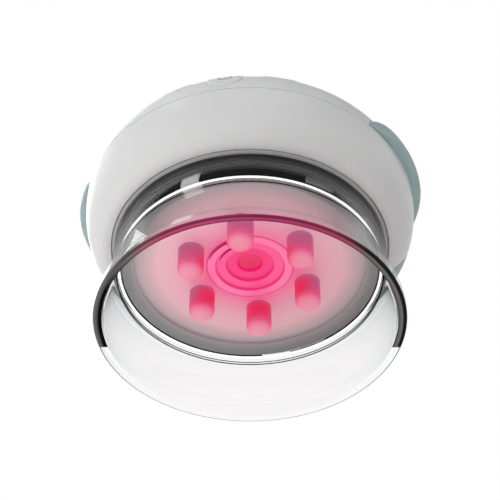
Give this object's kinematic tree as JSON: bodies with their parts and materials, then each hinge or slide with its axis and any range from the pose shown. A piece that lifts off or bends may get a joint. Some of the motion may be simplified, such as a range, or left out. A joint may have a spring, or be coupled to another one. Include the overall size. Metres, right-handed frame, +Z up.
{
  "type": "vacuum massager",
  "caption": "Palm-held vacuum body massager: round domed body with soft side grips and push buttons, dark neck with a lit plate and massage posts, clear flared suction cup.",
  "frame": {"origin": "on the middle axis, level with the flat rim that the clear cup stands on", "axes": "+Z up through the dome's crown, -Y towards the three buttons, +X towards the right-hand grip as seen from behind the buttons"},
  "size_m": [0.1139, 0.109, 0.0745],
  "materials": {
    "white_shell": "satin white moulding",
    "teal_grip": "soft matt teal",
    "dark_neck": "glossy near-black",
    "grey_ring": "satin grey",
    "clear_cup": "clear polycarbonate",
    "frosted_plate": "frosted, lit pink from behind",
    "rose_post": "translucent rose, lit from behind",
    "black_rubber": "matt black",
    "green_board": "green solder mask",
    "lamp": "lamp lens",
    "steel": "plain steel",
    "cell_wrap": "shrink wrap",
    "nylon": "natural nylon",
    "silicone": "translucent silicone"
  },
  "bodies": {
    "body": {"upper_shell": "white_shell", "lower_shell": "white_shell", "seat_ring": "white_shell", "grip_right": "teal_grip", "grip_left": "teal_grip", "rear_pad": "teal_grip", "port_board": "green_board", "charging_socket": "steel", "light_housing": "dark_neck", "cup_seal": "black_rubber", "bezel_ring": "grey_ring", "light_disc": "frosted_plate", "post_1": "rose_post", "post_2": "rose_post", "post_3": "rose_post", "post_4": "rose_post", "post_5": "rose_post", "post_6": "rose_post", "suction_port": "rose_post", "port_filter": "silicone", "led_board": "green_board", "lamp_strip": "lamp", "switch_board": "green_board", "switch_light": "black_rubber", "switch_power": "black_rubber", "switch_suction": "black_rubber", "battery_holder": "nylon", "battery_cell": "cell_wrap", "pump_bracket": "steel", "pump_motor": "steel", "pump_head": "nylon", "release_valve": "dark_neck", "main_board": "green_board", "air_tube": "silicone", "case_screw_1": "steel", "case_screw_2": "steel", "case_screw_3": "steel", "case_screw_4": "steel", "case_screw_5": "steel"},
    "cup": {"suction_cup": "clear_cup"},
    "light_button": {"button_light": "white_shell"},
    "power_button": {"button_power": "white_shell"},
    "suction_button": {"button_suction": "white_shell"},
    "cover": {"port_cover": "teal_grip"}
  },
  "joints": [
    {"name": "cup_twist", "type": "hinge", "parent": "body", "child": "cup", "pos_m": [0, 0, 0.0247], "axis": [0, 0, 1], "range_deg": [0, 18]},
    {"name": "light_button_press", "type": "slide", "parent": "body", "child": "light_button", "axis": [0, 0.788, -0.6157], "range_m": [0, 0.0008], "stiffness_N_per_m": 600},
    {"name": "power_button_press", "type": "slide", "parent": "body", "child": "power_button", "axis": [0, 0.788, -0.6157], "range_m": [0, 0.0008], "stiffness_N_per_m": 600},
    {"name": "suction_button_press", "type": "slide", "parent": "body", "child": "suction_button", "axis": [0, 0.788, -0.6157], "range_m": [0, 0.0008], "stiffness_N_per_m": 600},
    {"name": "cover_swing", "type": "hinge", "parent": "body", "child": "cover", "pos_m": [-0.008, 0.0541, 0.044], "axis": [0, 0, 1], "range_deg": [0, 110]}
  ]
}
